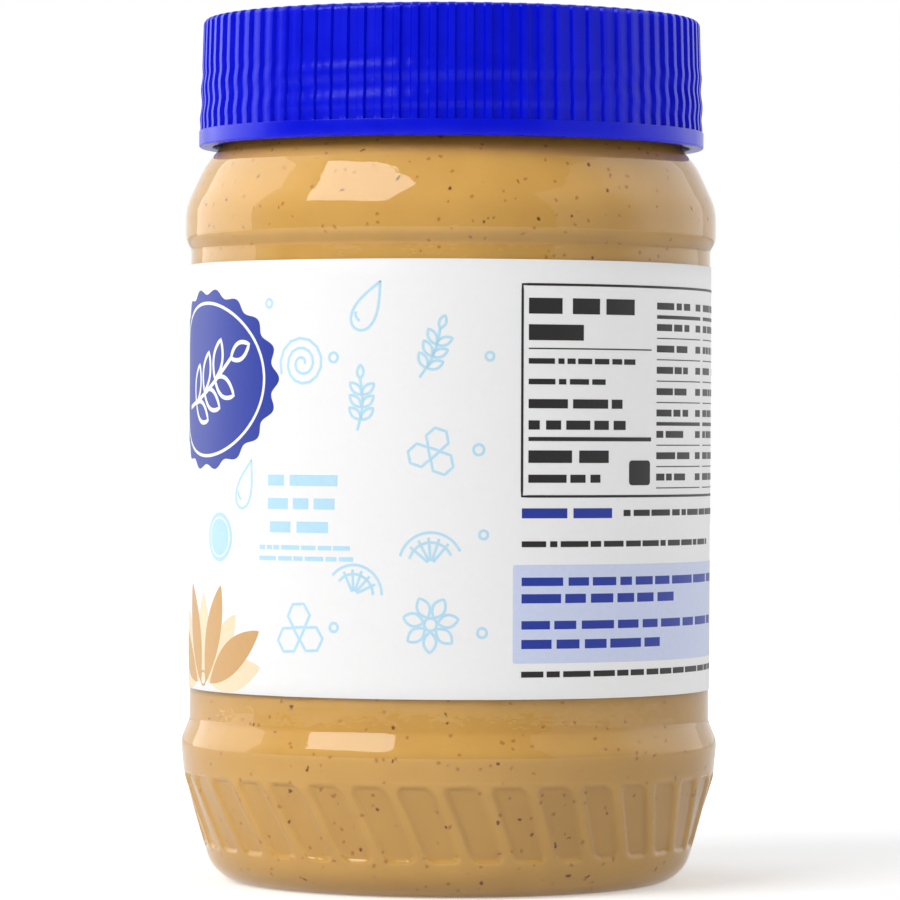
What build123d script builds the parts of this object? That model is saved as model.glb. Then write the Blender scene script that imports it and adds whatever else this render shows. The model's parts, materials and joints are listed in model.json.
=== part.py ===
from build123d import *

import os
from math import cos, pi, radians, sin

# A shut peanut butter jar: a clear screw-top jar, its filling, a wrap-round label and a ribbed lid.
# Millimetres, +Z up. The origin is the middle of the standing ring, on the surface the jar stands on.
# Each piece is turned about Z, and the grip ribs, flutes and threads are added to it.

# Heights up the axis
TOTAL_HEIGHT = 122.3
LID_BOTTOM = 104.1
LID_BAND_HEIGHT = 2.3
NECK_ROOT = 104.3
SHOULDER_BEND = 101.6
SHOULDER_START = 95.6
UPPER_BEAD_FOOT = 91.0
PANEL_TOP = 89.6
PANEL_BOTTOM = 23.0
LOWER_BEAD_PEAK = 20.0
TAPER_TOP = 14.9
LABEL_BOTTOM = 27.5
LABEL_HEIGHT = 59.8

# Radii of the jar at those heights
NECK_RADIUS = 32.6
SHOULDER_BEND_RADIUS = 34.96
SHOULDER_RADIUS = 37.73
PANEL_RADIUS = 36.95
LOWER_BEAD_RADIUS = 38.15
TAPER_TOP_RADIUS = 37.63
HEEL_RADIUS = 33.2

# Rounding of the jar's outline
HEEL_FILLET = 5.5
TAPER_FILLET = 3.0
LOWER_BEAD_FILLET = 4.0
PANEL_BOTTOM_FILLET = 2.0
PANEL_TOP_FILLET = 1.0
UPPER_BEAD_FILLET = 2.5
SHOULDER_FILLET = 8.0
SHOULDER_BEND_FILLET = 10.0
NECK_ROOT_FILLET = 0.6

# Wall, standing ring and mouth of the jar
WALL = 0.8
NECK_WALL = 1.2
RIM_FILLET = 0.3
STANDING_RING_INNER = 24.5
BASE_PUSH_UP = 4.0

# Slanted flutes round the taper
FLUTE_COUNT = 36
FLUTE_DEPTH = 0.4
FLUTE_TOP = 15.9
FLUTE_BOTTOM = 5.0
FLUTE_LAND = 0.95
FLUTE_CORNER = 1.3
FLUTE_TWIST_DEG = 7.0
FLUTE_PHASE_DEG = 5.9

# Lid
LID_BAND_RADIUS = 35.9
GRIP_BOTTOM_RADIUS = 35.75
GRIP_TOP_RADIUS = 35.3
LID_BORE_RADIUS = 33.95
LID_TOP_THICKNESS = 1.3
LID_EDGE_FILLET = 0.9
LID_BAND_FILLET = 0.3
RIB_COUNT = 88
RIB_DEPTH = 0.5
RIB_CREST_WIDTH = 0.95
RIB_ROOT_WIDTH = 1.45

# Screw threads, the lid's starting below the neck's so that one lies between the turns of the other
THREAD_PITCH = 4.2
THREAD_HEIGHT = 0.95
THREAD_ROOT_WIDTH = 1.7
THREAD_CREST_WIDTH = 0.8
THREAD_BITE = 0.25
NECK_THREAD_START = 107.85
NECK_THREAD_TURNS = 1.25
LID_THREAD_TURNS = 2.0

# Filling and label
FILL_CLEARANCE = 0.05
HEADSPACE = 3.4
LABEL_CLEARANCE = 0.02
LABEL_THICKNESS = 0.12
LABEL_LAP_DEG = 9.0
LABEL_SEAM_DEG = 60.0

# Worked out from the values above
GRIP_BOTTOM = LID_BOTTOM + LID_BAND_HEIGHT
RIM_TOP = TOTAL_HEIGHT - LID_TOP_THICKNESS
FILL_TOP = RIM_TOP - HEADSPACE
LABEL_INNER = PANEL_RADIUS + LABEL_CLEARANCE
LABEL_OUTER = LABEL_INNER + LABEL_THICKNESS
TAPER_SLOPE = (TAPER_TOP_RADIUS - HEEL_RADIUS) / TAPER_TOP
LID_THREAD_START = NECK_THREAD_START - THREAD_PITCH / 2


def taper_radius(height):
    """The radius of the tapered lower wall at a height."""
    return HEEL_RADIUS + TAPER_SLOPE * height


def inset_corner(before, corner, after, inset_before, inset_after):
    """Where two neighbouring edges of the outline meet once each has moved inwards by its own amount."""
    first = (corner - before).normalized()
    second = (after - corner).normalized()
    first_origin = corner + Vector(-first.Y, first.X) * inset_before
    second_origin = corner + Vector(-second.Y, second.X) * inset_after
    crossing = first.cross(second).Z
    along = (second_origin - first_origin).cross(second).Z / crossing
    return first_origin + first * along


def half_outline(inset, neck_inset, top):
    """Half of the jar's outline, in XY with Y up the axis, moved inwards by one amount, by another at the neck."""
    corners = (
        (HEEL_RADIUS, 0, HEEL_FILLET),
        (TAPER_TOP_RADIUS, TAPER_TOP, TAPER_FILLET),
        (LOWER_BEAD_RADIUS, LOWER_BEAD_PEAK, LOWER_BEAD_FILLET),
        (PANEL_RADIUS, PANEL_BOTTOM, PANEL_BOTTOM_FILLET),
        (PANEL_RADIUS, PANEL_TOP, PANEL_TOP_FILLET),
        (SHOULDER_RADIUS, UPPER_BEAD_FOOT, UPPER_BEAD_FILLET),
        (SHOULDER_RADIUS, SHOULDER_START, SHOULDER_FILLET),
        (SHOULDER_BEND_RADIUS, SHOULDER_BEND, SHOULDER_BEND_FILLET),
        (NECK_RADIUS, NECK_ROOT, NECK_ROOT_FILLET),
    )
    ends = Vector(STANDING_RING_INNER, 0), Vector(NECK_RADIUS, RIM_TOP)
    route = [ends[0], *(Vector(x, y) for x, y, _ in corners), ends[1]]
    insets = [inset] * len(corners) + [neck_inset]
    moved = [
        inset_corner(route[i - 1], route[i], route[i + 1], insets[i - 1], insets[i])
        for i in range(1, len(route) - 1)
    ]
    ring, mouth = Vector(STANDING_RING_INNER, inset), Vector(NECK_RADIUS - neck_inset, top)
    middle = Vector(0, BASE_PUSH_UP + inset)
    halfway = Vector(STANDING_RING_INNER / 2, BASE_PUSH_UP * 3 / 4 + inset)
    base = ThreePointArc(middle, halfway, ring)
    walls = Polyline(ring, *moved, mouth, Vector(0, top), middle)
    face = make_face([base, walls])
    for place, before, after, (_, _, radius) in zip(moved, route, route[2:], corners):
        corner = route[moved.index(place) + 1]
        turn = (corner - before).cross(after - corner).Z
        corner_fillet = radius - inset if turn > 0 else radius + inset
        face = fillet(face.vertices().sort_by_distance(place)[0], corner_fillet)
    return face


def turned(face):
    """A half outline in XY turned a full circle about the vertical axis."""
    return revolve(Plane.XZ * face, Axis.Z, 360)


def flute_block(index):
    """A slanted block, rounded at its corners, that cuts one flute through the tapered wall."""
    middle = (FLUTE_TOP + FLUTE_BOTTOM) / 2
    radius = taper_radius(middle)
    lean = 1 / (1 + TAPER_SLOPE**2) ** 0.5
    half_rise = (FLUTE_TOP - FLUTE_BOTTOM) / lean / 2
    shift = radians(FLUTE_TWIST_DEG) * radius / 2
    half_top = pi * taper_radius(FLUTE_TOP) / FLUTE_COUNT - FLUTE_LAND / 2
    half_bottom = pi * taper_radius(FLUTE_BOTTOM) / FLUTE_COUNT - FLUTE_LAND / 2
    panel = make_face(
        Polyline(
            (-half_top - shift, half_rise),
            (half_top - shift, half_rise),
            (half_bottom + shift, -half_rise),
            (-half_bottom + shift, -half_rise),
            close=True,
        )
    )
    panel = fillet(panel.vertices(), FLUTE_CORNER)
    angle = radians(360 / FLUTE_COUNT * index + FLUTE_PHASE_DEG)
    place = Plane(
        origin=(radius * cos(angle), radius * sin(angle), middle),
        x_dir=(-sin(angle), cos(angle), 0),
        z_dir=(cos(angle), sin(angle), -TAPER_SLOPE),
    )
    return extrude(place * panel, amount=3 * FLUTE_DEPTH, both=True)


def thread(radius, crest_radius, start, turns):
    """A helical ridge of trapezium section, from just inside a wall of one radius to its crest at another."""
    root = THREAD_BITE if crest_radius < radius else -THREAD_BITE
    crest = crest_radius - radius
    half_root, half_crest = THREAD_ROOT_WIDTH / 2, THREAD_CREST_WIDTH / 2
    path = Helix(THREAD_PITCH, THREAD_PITCH * turns, radius)
    section = Plane(origin=path @ 0, x_dir=(1, 0, 0), z_dir=path % 0)
    profile = make_face(
        Polyline((root, -half_root), (crest, -half_crest), (crest, half_crest), (root, half_root), close=True)
    )
    return Pos(0, 0, start) * sweep(section * profile, path=path, is_frenet=True)


def make_jar():
    """The clear jar: a thin shell with slanted flutes round its taper and a thread round its neck."""
    lands = turned(half_outline(0, 0, RIM_TOP)) - [flute_block(index) for index in range(FLUTE_COUNT)]
    flute_floors = turned(half_outline(FLUTE_DEPTH, FLUTE_DEPTH, RIM_TOP - FLUTE_DEPTH))
    shell = lands + flute_floors - turned(half_outline(WALL, NECK_WALL, RIM_TOP))
    rim = shell.edges().filter_by(GeomType.CIRCLE).group_by(Axis.Z)[-1]
    shell = fillet(rim, RIM_FILLET)
    return shell + thread(NECK_RADIUS, NECK_RADIUS + THREAD_HEIGHT, NECK_THREAD_START, NECK_THREAD_TURNS)


def make_peanut_butter():
    """The peanut butter, up to its level in the neck."""
    inset = WALL + FILL_CLEARANCE
    return turned(half_outline(inset, NECK_WALL + FILL_CLEARANCE, FILL_TOP))


def make_label():
    """The wrap-round label, a thin tube whose end laps over its start."""
    tube = Cylinder(LABEL_OUTER, LABEL_HEIGHT) - Cylinder(LABEL_INNER, LABEL_HEIGHT)
    lap_radius = LABEL_OUTER + LABEL_THICKNESS
    lap = Cylinder(lap_radius, LABEL_HEIGHT, arc_size=LABEL_LAP_DEG) - Cylinder(LABEL_OUTER, LABEL_HEIGHT)
    return Pos(0, 0, LABEL_BOTTOM + LABEL_HEIGHT / 2) * (tube + Rot(0, 0, LABEL_SEAM_DEG) * lap)


def lid_outline(depth):
    """Half of the lid's outer outline, in XY with Y up the axis, with its grip set back by a depth."""
    face = make_face(
        Polyline(
            (0, LID_BOTTOM),
            (LID_BAND_RADIUS, LID_BOTTOM),
            (LID_BAND_RADIUS, GRIP_BOTTOM),
            (GRIP_BOTTOM_RADIUS - depth, GRIP_BOTTOM),
            (GRIP_TOP_RADIUS - depth, TOTAL_HEIGHT),
            (0, TOTAL_HEIGHT),
            close=True,
        )
    )
    top_corner = face.vertices().sort_by_distance((GRIP_TOP_RADIUS - depth, TOTAL_HEIGHT, 0))[0]
    face = fillet(top_corner, LID_EDGE_FILLET)
    band_corner = face.vertices().sort_by_distance((LID_BAND_RADIUS, LID_BOTTOM, 0))[0]
    return fillet(band_corner, LID_BAND_FILLET)


def rib_gap(index):
    """The block that leaves the gap between two ribs, narrower at its floor, from the band up past the lid's top."""
    pitch = 2 * pi * GRIP_BOTTOM_RADIUS / RIB_COUNT
    half_mouth, half_floor = (pitch - RIB_CREST_WIDTH) / 2, (pitch - RIB_ROOT_WIDTH) / 2
    flare = (half_mouth - half_floor) / RIB_DEPTH
    mouth, floor = GRIP_BOTTOM_RADIUS, GRIP_BOTTOM_RADIUS - RIB_DEPTH
    outer, inner = mouth + RIB_DEPTH, GRIP_TOP_RADIUS - 2 * RIB_DEPTH
    half_outer, half_inner = half_mouth + flare * (outer - mouth), half_floor / 2
    gap = make_face(
        Polyline(
            (inner, -half_inner),
            (floor, -half_floor),
            (outer, -half_outer),
            (outer, half_outer),
            (floor, half_floor),
            (inner, half_inner),
            close=True,
        )
    )
    block = extrude(gap, amount=TOTAL_HEIGHT - GRIP_BOTTOM + RIB_DEPTH)
    return Rot(0, 0, 360 / RIB_COUNT * index) * Pos(0, 0, GRIP_BOTTOM) * block


def make_lid():
    """The screw lid: a ribbed cap with a plain band at its foot and a thread inside."""
    ribs = turned(lid_outline(0)) - [rib_gap(index) for index in range(RIB_COUNT)]
    bore = Pos(0, 0, (LID_BOTTOM + RIM_TOP) / 2) * Cylinder(LID_BORE_RADIUS, RIM_TOP - LID_BOTTOM)
    shell = ribs + turned(lid_outline(RIB_DEPTH)) - bore
    return shell + thread(LID_BORE_RADIUS, LID_BORE_RADIUS - THREAD_HEIGHT, LID_THREAD_START, LID_THREAD_TURNS)


if __name__ == "__main__":
    os.makedirs("parts", exist_ok=True)
    pieces = {
        "jar": make_jar(),
        "peanut_butter": make_peanut_butter(),
        "label": make_label(),
        "lid": make_lid(),
    }
    for name, piece in pieces.items():
        export_step(piece, f"parts/{name}.step")
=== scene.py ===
"""A shut peanut butter jar: clear fluted plastic, its filling, a printed wrap-round label and a ribbed
blue lid.

Lengths are millimetres until a mesh is written, in metres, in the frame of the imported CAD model: +Z is up,
the origin is the middle of the standing ring, and the side seen first faces -Y. Angles go anticlockwise
from +X as seen from above. Every shape is worked out as whole numpy arrays.
"""

from __future__ import annotations

import json
import logging
import math
from dataclasses import dataclass, field
from enum import Enum

import bpy
import numpy as np
from mathutils import Matrix, Vector

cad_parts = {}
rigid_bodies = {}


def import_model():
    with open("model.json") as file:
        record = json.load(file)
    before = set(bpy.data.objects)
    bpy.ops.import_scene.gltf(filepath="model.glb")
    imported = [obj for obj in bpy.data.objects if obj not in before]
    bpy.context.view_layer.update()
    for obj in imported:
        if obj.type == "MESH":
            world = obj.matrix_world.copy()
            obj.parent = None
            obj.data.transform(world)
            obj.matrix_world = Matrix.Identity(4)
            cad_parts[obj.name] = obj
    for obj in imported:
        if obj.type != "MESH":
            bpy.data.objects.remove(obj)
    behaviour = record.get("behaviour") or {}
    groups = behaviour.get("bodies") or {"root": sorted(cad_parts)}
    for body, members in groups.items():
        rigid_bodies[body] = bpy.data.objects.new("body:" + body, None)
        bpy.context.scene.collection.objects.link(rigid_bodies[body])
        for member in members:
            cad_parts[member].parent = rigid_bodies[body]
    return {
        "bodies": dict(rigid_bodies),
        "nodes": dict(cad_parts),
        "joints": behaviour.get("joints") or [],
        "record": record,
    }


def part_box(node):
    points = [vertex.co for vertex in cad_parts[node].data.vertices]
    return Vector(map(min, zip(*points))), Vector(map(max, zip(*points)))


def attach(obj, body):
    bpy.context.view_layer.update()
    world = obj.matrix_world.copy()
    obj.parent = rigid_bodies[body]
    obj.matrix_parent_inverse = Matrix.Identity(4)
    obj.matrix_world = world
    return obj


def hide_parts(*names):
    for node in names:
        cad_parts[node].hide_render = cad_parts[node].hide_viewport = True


LOG = logging.getLogger("peanut_butter_jar")
MM = 0.001
FRONT = -math.pi / 2
TURN = 2 * math.pi
Tint = "tuple[float, float, float] | bpy.types.NodeSocket"


class Motif(Enum):
    """The line drawings scattered over the label."""

    SPRIG = "sprig"
    DAISY = "daisy"
    SPIRAL = "spiral"
    HONEYCOMB = "honeycomb"
    WAVES = "waves"
    DROP = "drop"
    SHELL = "shell"
    DIAMOND = "diamond"


class Ink(Enum):
    """The label's inks, each with its linear colour and the height in millimetres to which it is
    printed."""

    MIST = ((0.60, 0.66, 0.86), 0.020)
    ROYAL = ((0.012, 0.035, 0.33), 0.024)
    SKY = ((0.47, 0.72, 0.87), 0.026)
    CREAM = ((0.86, 0.70, 0.47), 0.022)
    TAN = ((0.62, 0.36, 0.14), 0.026)
    BLACK = ((0.018, 0.016, 0.016), 0.030)
    WHITE = ((0.86, 0.87, 0.89), 0.034)


# Mesh arrays


@dataclass
class Patch:
    """Vertices in millimetres, with the quads and triangles that join them, wound to face outwards."""

    vertices: np.ndarray
    quads: np.ndarray
    triangles: np.ndarray = field(default_factory=lambda: np.zeros((0, 3), dtype=int))

    @staticmethod
    def joined(patches: list[Patch]) -> Patch:
        """All the patches as one, each one's faces renumbered past the vertices before it.

        Args:
            patches: The patches to put together.

        Returns:
            One patch.
        """
        sizes = [len(p.vertices) for p in patches]
        starts = np.cumsum([0, *sizes[:-1]])
        return Patch(
            np.vstack([p.vertices for p in patches]),
            np.vstack([p.quads + s for p, s in zip(patches, starts)]),
            np.vstack([p.triangles + s for p, s in zip(patches, starts)]),
        )

    def to_object(
        self, name: str, finish: bpy.types.Material, slot: str, crease: float = 32.0
    ) -> bpy.types.Object:
        """Writes the patch as a mesh object that rides on the jar.

        Args:
            name: The object's name.
            finish: The material it wears.
            slot: The record's material slot; not used.
            crease: The angle in degrees past which an edge stays sharp.

        Returns:
            The new object.
        """
        mesh = bpy.data.meshes.new(name)
        mesh.from_pydata((self.vertices * MM).tolist(), [], self.quads.tolist() + self.triangles.tolist())
        mesh.update()
        mesh.shade_smooth()
        mesh.set_sharp_from_angle(angle=math.radians(crease))
        mesh.materials.append(finish)
        piece = bpy.data.objects.new(name, mesh)
        bpy.context.scene.collection.objects.link(piece)
        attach(piece, "root")
        return piece


def lattice(rows: int, columns: int, wrap_rows: bool = False, wrap_columns: bool = True) -> np.ndarray:
    """The quads of a grid of vertices, where a wrapped direction joins its end to its start.

    Args:
        rows: How many rows of vertices there are.
        columns: How many vertices a row has.
        wrap_rows: Whether the last row joins the first.
        wrap_columns: Whether each row is a ring.

    Returns:
        An array of quads.
    """
    row, column = np.arange(rows - (not wrap_rows)), np.arange(columns - (not wrap_columns))
    i, j = np.meshgrid(row, column, indexing="ij")
    below, above = (i % rows) * columns, ((i + 1) % rows) * columns
    left, right = j % columns, (j + 1) % columns
    return np.stack([below + left, below + right, above + right, above + left], axis=-1).reshape(-1, 4)


def turned(radius: np.ndarray, height: np.ndarray, angle: np.ndarray) -> Patch:
    """A closed skin of rings, each shrunk to a pole by one more vertex before the first ring and after
    the last.

    Args:
        radius: The radius of each vertex, one row for each ring.
        height: Its height, of the same shape.
        angle: Its angle about the axis, of the same shape.

    Returns:
        The skin: x = r cos a, y = r sin a, z = height.
    """
    rows, columns = radius.shape
    ring = np.stack([radius * np.cos(angle), radius * np.sin(angle), height], axis=-1).reshape(-1, 3)
    poles = np.array([[0, 0, height[0].mean()], [0, 0, height[-1].mean()]])
    here = np.arange(columns)
    after = (here + 1) % columns
    last = (rows - 1) * columns
    first_fan = np.stack([np.full(columns, rows * columns), after, here], axis=-1)
    last_fan = np.stack([np.full(columns, rows * columns + 1), last + here, last + after], axis=-1)
    return Patch(np.vstack([ring, poles]), lattice(rows, columns), np.vstack([first_fan, last_fan]))


def rounded(corners: np.ndarray, fillets: np.ndarray, arc_step: float = 8.0) -> np.ndarray:
    """A route of straight runs whose inner corners are arcs.

    Each arc touches its two runs at radius times the tangent of half the turn from the corner.

    Args:
        corners: The route's corners, both ends included.
        fillets: The radius at each inner corner.
        arc_step: The most an arc turns from one point to the next, in degrees.

    Returns:
        The route's points.
    """
    pieces = [corners[:1]]
    for before, corner, after, radius in zip(corners, corners[1:], corners[2:], fillets):
        first = (corner - before) / np.linalg.norm(corner - before)
        second = (after - corner) / np.linalg.norm(after - corner)
        turn = math.atan2(first[0] * second[1] - first[1] * second[0], float(first @ second))
        reach = radius * math.tan(abs(turn) / 2)
        side = math.copysign(1.0, turn) * np.array([-first[1], first[0]])
        along = np.linspace(0, abs(turn), max(2, math.ceil(abs(math.degrees(turn)) / arc_step) + 1))[:, None]
        pieces.append(corner - first * reach + radius * (np.sin(along) * first + (1 - np.cos(along)) * side))
    pieces.append(corners[-1:])
    return np.vstack(pieces)


def split(route: np.ndarray, longest: np.ndarray | float) -> np.ndarray:
    """The route with each stretch cut evenly, so that no part is longer than that stretch's limit.

    Args:
        route: Points along a path.
        longest: The limit for each stretch, or one limit for all.

    Returns:
        The points of the finer route.
    """
    run = np.linalg.norm(np.diff(route, axis=0), axis=1)
    counts = np.maximum(1, np.ceil(run / longest)).astype(int)
    first = np.repeat(route[:-1], counts, axis=0)
    step = np.repeat(np.diff(route, axis=0) / counts[:, None], counts, axis=0)
    index = np.arange(counts.sum()) - np.repeat(np.cumsum(counts) - counts, counts)
    return np.vstack([first + step * index[:, None], route[-1:]])


def smooth_step(value: np.ndarray) -> np.ndarray:
    """0 below 0, 1 above 1 and a smooth cubic between: 3v^2 - 2v^3."""
    v = np.clip(value, 0, 1)
    return v * v * (3 - 2 * v)


# Shader building


@dataclass(frozen=True)
class Finish:
    """A finish: its name and the plain values of its Principled shader."""

    name: str
    colour: tuple[float, float, float]
    roughness: float
    specular: float = 0.5
    ior: float = 1.5

    def start(self) -> tuple[bpy.types.Material, bpy.types.NodeTree, bpy.types.Node]:
        """A new material with its plain values set, its node tree and its Principled node.

        Returns:
            The material, its node tree and its shader node.
        """
        material = bpy.data.materials.new(self.name)
        material.use_nodes = True
        tree = material.node_tree
        shader = tree.nodes["Principled BSDF"]
        shader.inputs["Base Color"].default_value = (*self.colour, 1)
        shader.inputs["Roughness"].default_value = self.roughness
        shader.inputs["Specular IOR Level"].default_value = self.specular
        shader.inputs["IOR"].default_value = self.ior
        return material, tree, shader


def node(tree: bpy.types.NodeTree, kind: str, **settings: object) -> bpy.types.Node:
    """A new node of that kind; a setting sets a property, or the input socket of that name.

    Args:
        tree: The node tree it goes in.
        kind: The node type's identifier.
        settings: Properties and socket values by name.

    Returns:
        The node.
    """
    made = tree.nodes.new(kind)
    for name, value in settings.items():
        if hasattr(made, name):
            setattr(made, name, value)
        else:
            made.inputs[name.replace("_", " ")].default_value = value
    return made


def mottle_group() -> bpy.types.NodeTree:
    """The shared node group of soft mottling: two sizes of noise give a factor and the normal of a fine
    relief.

    Returns:
        The node group.
    """
    group = bpy.data.node_groups.new("soft_mottle", "ShaderNodeTree")
    for name, kind, start in (
        ("Vector", "NodeSocketVector", None),
        ("Scale", "NodeSocketFloat", 60.0),
        ("Relief", "NodeSocketFloat", 0.1),
        ("Depth", "NodeSocketFloat", 0.0001),
    ):
        socket = group.interface.new_socket(name, in_out="INPUT", socket_type=kind)
        if start is not None:
            socket.default_value = start
    group.interface.new_socket("Factor", in_out="OUTPUT", socket_type="NodeSocketFloat")
    group.interface.new_socket("Normal", in_out="OUTPUT", socket_type="NodeSocketVector")
    start, end = group.nodes.new("NodeGroupInput"), group.nodes.new("NodeGroupOutput")
    broad = node(group, "ShaderNodeTexNoise", Detail=4.0, Roughness=0.55)
    fine_scale = node(group, "ShaderNodeMath", operation="MULTIPLY")
    fine_scale.inputs[1].default_value = 7.0
    fine = node(group, "ShaderNodeTexNoise", Detail=3.0)
    relief = group.nodes.new("ShaderNodeBump")
    link = group.links.new
    link(start.outputs["Vector"], broad.inputs["Vector"])
    link(start.outputs["Scale"], broad.inputs["Scale"])
    link(start.outputs["Scale"], fine_scale.inputs[0])
    link(start.outputs["Vector"], fine.inputs["Vector"])
    link(fine_scale.outputs[0], fine.inputs["Scale"])
    link(fine.outputs["Fac"], relief.inputs["Height"])
    link(start.outputs["Relief"], relief.inputs["Strength"])
    link(start.outputs["Depth"], relief.inputs["Distance"])
    link(broad.outputs["Fac"], end.inputs["Factor"])
    link(relief.outputs["Normal"], end.inputs["Normal"])
    return group


def add_mottle(
    tree: bpy.types.NodeTree, group: bpy.types.NodeTree, scale: float, relief: float, depth: float
) -> bpy.types.Node:
    """The mottle group placed in a material, read at the object's own coordinates.

    Args:
        tree: The material's nodes.
        group: The shared mottle node group.
        scale: Broad noise features in a metre, roughly.
        relief: Strength of the relief, 0 to 1.
        depth: Height of the relief in metres.

    Returns:
        The placed group node.
    """
    place = tree.nodes.new("ShaderNodeTexCoord")
    mottle = tree.nodes.new("ShaderNodeGroup")
    mottle.node_tree = group
    for name, value in (("Scale", scale), ("Relief", relief), ("Depth", depth)):
        mottle.inputs[name].default_value = value
    tree.links.new(place.outputs["Object"], mottle.inputs["Vector"])
    return mottle


def blend(
    tree: bpy.types.NodeTree, factor: bpy.types.NodeSocket, low: Tint, high: Tint
) -> bpy.types.NodeSocket:
    """A colour mixed from low to high by a factor; each is a linear colour or another node's output.

    Args:
        tree: The material's nodes.
        factor: The socket that gives the share of high.
        low: Colour at factor 0.
        high: Colour at factor 1.

    Returns:
        The mixed colour socket.
    """
    mix = node(tree, "ShaderNodeMix", data_type="RGBA")
    tree.links.new(factor, mix.inputs["Factor"])
    for name, value in (("A", low), ("B", high)):
        socket = [s for s in mix.inputs if s.name == name and s.type == "RGBA"][0]
        if isinstance(value, bpy.types.NodeSocket):
            tree.links.new(value, socket)
        else:
            socket.default_value = (*value, 1)
    return [s for s in mix.outputs if s.type == "RGBA"][0]


def clear_plastic(mottle: bpy.types.NodeTree) -> bpy.types.Material:
    """Clear blown plastic: a glass-like shader that lets shadow rays through, with a faint unevenness.

    Args:
        mottle: The shared mottle node group.

    Returns:
        The finished material.
    """
    material, tree, shader = Finish("clear_plastic", (0.985, 0.985, 0.98), 0.03, ior=1.52).start()
    shader.inputs["Transmission Weight"].default_value = 1.0
    relief = add_mottle(tree, mottle, 55.0, 0.12, 0.0002)
    tree.links.new(relief.outputs["Normal"], shader.inputs["Normal"])
    path = tree.nodes.new("ShaderNodeLightPath")
    open_to_light = node(tree, "ShaderNodeBsdfTransparent", Color=(0.94, 0.95, 0.95, 1))
    mix = tree.nodes.new("ShaderNodeMixShader")
    tree.links.new(path.outputs["Is Shadow Ray"], mix.inputs[0])
    tree.links.new(shader.outputs[0], mix.inputs[1])
    tree.links.new(open_to_light.outputs[0], mix.inputs[2])
    tree.links.new(mix.outputs[0], tree.nodes["Material Output"].inputs["Surface"])
    return material


def specks(tree: bpy.types.NodeTree, scale: float, size: float, share: float) -> bpy.types.NodeSocket:
    """A mask of scattered specks: the middles of the few Voronoi cells whose own random value is low.

    Args:
        tree: The material's nodes.
        scale: How many cells a metre holds.
        size: The speck's radius as a share of a cell.
        share: The share of cells that hold a speck.

    Returns:
        The mask, 1 in a speck.
    """
    place = tree.nodes.new("ShaderNodeTexCoord")
    waver = node(tree, "ShaderNodeTexNoise", Scale=scale * 2.2, Detail=2.0)
    bend = node(tree, "ShaderNodeVectorMath", operation="MULTIPLY_ADD")
    bend.inputs[1].default_value = (0.5 / scale,) * 3
    cells = node(tree, "ShaderNodeTexVoronoi", Scale=scale)
    tree.links.new(place.outputs["Object"], waver.inputs["Vector"])
    tree.links.new(waver.outputs["Color"], bend.inputs[0])
    tree.links.new(place.outputs["Object"], bend.inputs[2])
    tree.links.new(bend.outputs[0], cells.inputs["Vector"])
    near = node(tree, "ShaderNodeMapRange", interpolation_type="SMOOTHSTEP")
    for name, value in (("From Min", size), ("From Max", size * 0.55), ("To Min", 0.0), ("To Max", 1.0)):
        near.inputs[name].default_value = value
    tree.links.new(cells.outputs["Distance"], near.inputs["Value"])
    split_colour = tree.nodes.new("ShaderNodeSeparateColor")
    tree.links.new(cells.outputs["Color"], split_colour.inputs[0])
    chosen = node(tree, "ShaderNodeMath", operation="LESS_THAN")
    chosen.inputs[1].default_value = share
    tree.links.new(split_colour.outputs[0], chosen.inputs[0])
    both = node(tree, "ShaderNodeMath", operation="MULTIPLY")
    tree.links.new(near.outputs[0], both.inputs[0])
    tree.links.new(chosen.outputs[0], both.inputs[1])
    return both.outputs[0]


def nut_spread(mottle: bpy.types.NodeTree) -> bpy.types.Material:
    """Peanut butter: tan with faint darker and lighter clouds, fine brown freckles and a few dark flecks.

    Args:
        mottle: The shared mottle node group.

    Returns:
        The finished material.
    """
    material, tree, shader = Finish("peanut_butter", (0.575, 0.336, 0.080), 0.5, specular=0.15).start()
    clouds = add_mottle(tree, mottle, 95.0, 0.25, 0.0002)
    base = blend(tree, clouds.outputs["Factor"], (0.523, 0.295, 0.067), (0.636, 0.386, 0.098))
    freckles = blend(tree, specks(tree, 700.0, 0.24, 0.42), base, (0.42, 0.19, 0.045))
    flecks = blend(tree, specks(tree, 420.0, 0.15, 0.34), freckles, (0.17, 0.06, 0.016))
    large = blend(tree, specks(tree, 190.0, 0.09, 0.20), flecks, (0.11, 0.035, 0.01))
    tree.links.new(large, shader.inputs["Base Color"])
    tree.links.new(clouds.outputs["Normal"], shader.inputs["Normal"])
    return material


def blue_plastic(mottle: bpy.types.NodeTree) -> bpy.types.Material:
    """Moulded saturated blue plastic, glossy, with a faintly uneven skin and small changes of gloss.

    Args:
        mottle: The shared mottle node group.

    Returns:
        The finished material.
    """
    material, tree, shader = Finish("blue_lid", (0.000, 0.004, 0.662), 0.22, specular=0.22, ior=1.5).start()
    skin = add_mottle(tree, mottle, 240.0, 0.18, 0.00006)
    colour = blend(tree, skin.outputs["Factor"], (0.000, 0.003, 0.571), (0.001, 0.006, 0.731))
    tree.links.new(colour, shader.inputs["Base Color"])
    gloss = node(tree, "ShaderNodeMapRange")
    gloss.inputs["To Min"].default_value = 0.16
    gloss.inputs["To Max"].default_value = 0.30
    tree.links.new(skin.outputs["Factor"], gloss.inputs["Value"])
    tree.links.new(gloss.outputs[0], shader.inputs["Roughness"])
    tree.links.new(skin.outputs["Normal"], shader.inputs["Normal"])
    return material


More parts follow.
